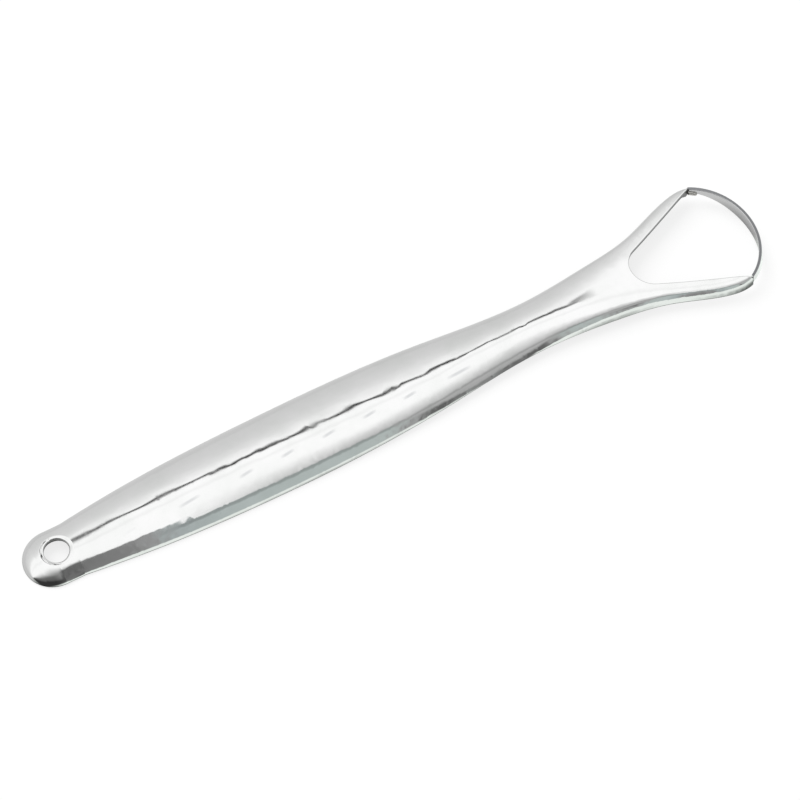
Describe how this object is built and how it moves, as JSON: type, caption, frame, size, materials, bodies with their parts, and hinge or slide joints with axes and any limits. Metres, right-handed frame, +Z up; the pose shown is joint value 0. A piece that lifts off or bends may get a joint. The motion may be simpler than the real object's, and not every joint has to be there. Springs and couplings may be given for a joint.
{
  "type": "tongue scraper",
  "caption": "Slim polished steel tongue scraper: a hollow pressed handle with a hanging hole widens into a fork, and a thin bent scraping band closes the fork into a loop.",
  "frame": {"origin": "half way along the length, on the middle plane, on the plane that the handle's rim and the band's front edge rest on", "axes": "+X from the tail with the hanging hole towards the scraping band, +Y across the handle, +Z up, out of the arched back of the handle"},
  "size_m": [0.1449, 0.0234, 0.0046],
  "materials": {
    "handle_steel": "polished",
    "band_steel": "polished",
    "weld_steel": "satin"
  },
  "bodies": {
    "root": {"handle_shell": "handle_steel", "scraper_band": "band_steel", "band_welds": "weld_steel"}
  },
  "joints": []
}
